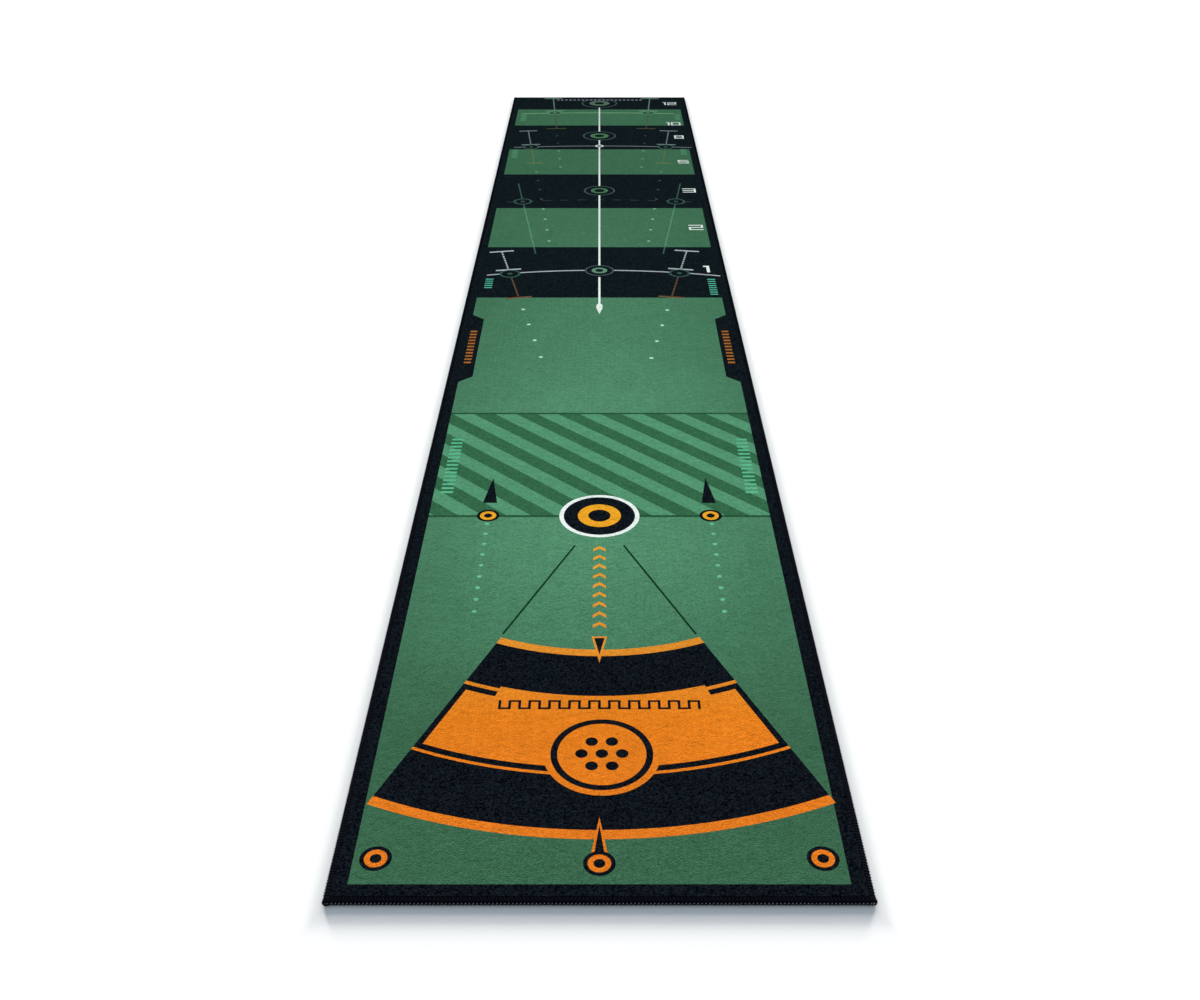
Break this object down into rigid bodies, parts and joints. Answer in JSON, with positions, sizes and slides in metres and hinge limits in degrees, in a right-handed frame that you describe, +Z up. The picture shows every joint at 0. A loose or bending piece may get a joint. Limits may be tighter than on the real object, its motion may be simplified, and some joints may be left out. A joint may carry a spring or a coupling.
{
  "type": "practice putting mat",
  "caption": "Long flat tufted carpet mat with printed aiming fan, practice hole, distance bands and gates, overlocked edges and a rubber underside.",
  "frame": {"origin": "centre of the underside, on the floor that the mat lies on", "axes": "+Y along the mat from the player's end to the far end, +X to the player's right, +Z up out of the pile"},
  "size_m": [0.5, 3, 0.0064],
  "materials": {
    "rubber": "matt, fine waffle texture",
    "latex": "cured latex, matt",
    "backing_cloth": "plain woven polypropylene tape",
    "pile_undyed": "undyed short cut pile",
    "pile_green": "short dense cut pile, dyed green",
    "pile_green_light": "short dense cut pile, dyed light green",
    "pile_green_dark": "short dense cut pile, dyed dark green",
    "pile_black": "short dense cut pile, dyed blue black",
    "pile_orange": "short dense cut pile, dyed orange",
    "pile_white": "short dense cut pile, left white",
    "pile_mint": "short dense cut pile, dyed pale mint",
    "pile_sage": "short dense cut pile, dyed grey green",
    "overlock_yarn": "black polyester overlock yarn"
  },
  "bodies": {
    "root": {"rubber_backing": "rubber", "latex_coat": "latex", "primary_backing": "backing_cloth", "tuft_roots": "pile_undyed", "overlock_left": "overlock_yarn", "overlock_right": "overlock_yarn", "overlock_near": "overlock_yarn", "overlock_far": "overlock_yarn", "hole_white_ring": "pile_white", "hole_orange_ring": "pile_orange", "hole_black": "pile_black", "aim_ring_orange": "pile_orange", "aim_ring_black": "pile_black", "aim_needles": "pile_black", "pointer_black": "pile_black", "pointer_orange": "pile_orange", "badge_black": "pile_black", "badge_orange": "pile_orange", "fan_meander": "pile_black", "fan_orange_panel": "pile_orange", "fan_orange_lines": "pile_orange", "fan_black": "pile_black", "guide_lines": "pile_green_dark", "tempo_dots": "pile_mint", "centre_chevrons": "pile_orange", "hatch_ladders": "pile_mint", "hatch_edge_lines": "pile_green_dark", "hatch_dark_stripes": "pile_green_dark", "hatch_light_stripes": "pile_green_light", "tab_ladders": "pile_orange", "far_ladders": "pile_mint", "end_row": "pile_white", "distance_numerals": "pile_white", "cup_outer_rings": "pile_sage", "cup_inner_rings": "pile_green", "cup_black": "pile_black", "centre_line": "pile_white", "gate_rings": "pile_sage", "gate_black": "pile_black", "gate_sights": "pile_white", "orange_rays": "pile_orange", "long_sights": "pile_mint", "ray_dots": "pile_mint", "distance_arc_1": "pile_white", "distance_arc_2": "pile_white", "distance_arc_3": "pile_white", "distance_arc_4": "pile_mint", "near_green_field": "pile_green", "middle_green_field": "pile_green", "black_band_1": "pile_black", "green_band_1": "pile_green", "black_band_2": "pile_black", "green_band_2": "pile_green", "black_band_3": "pile_black", "green_band_3": "pile_green", "black_band_4": "pile_black", "black_border": "pile_black"}
  },
  "joints": []
}
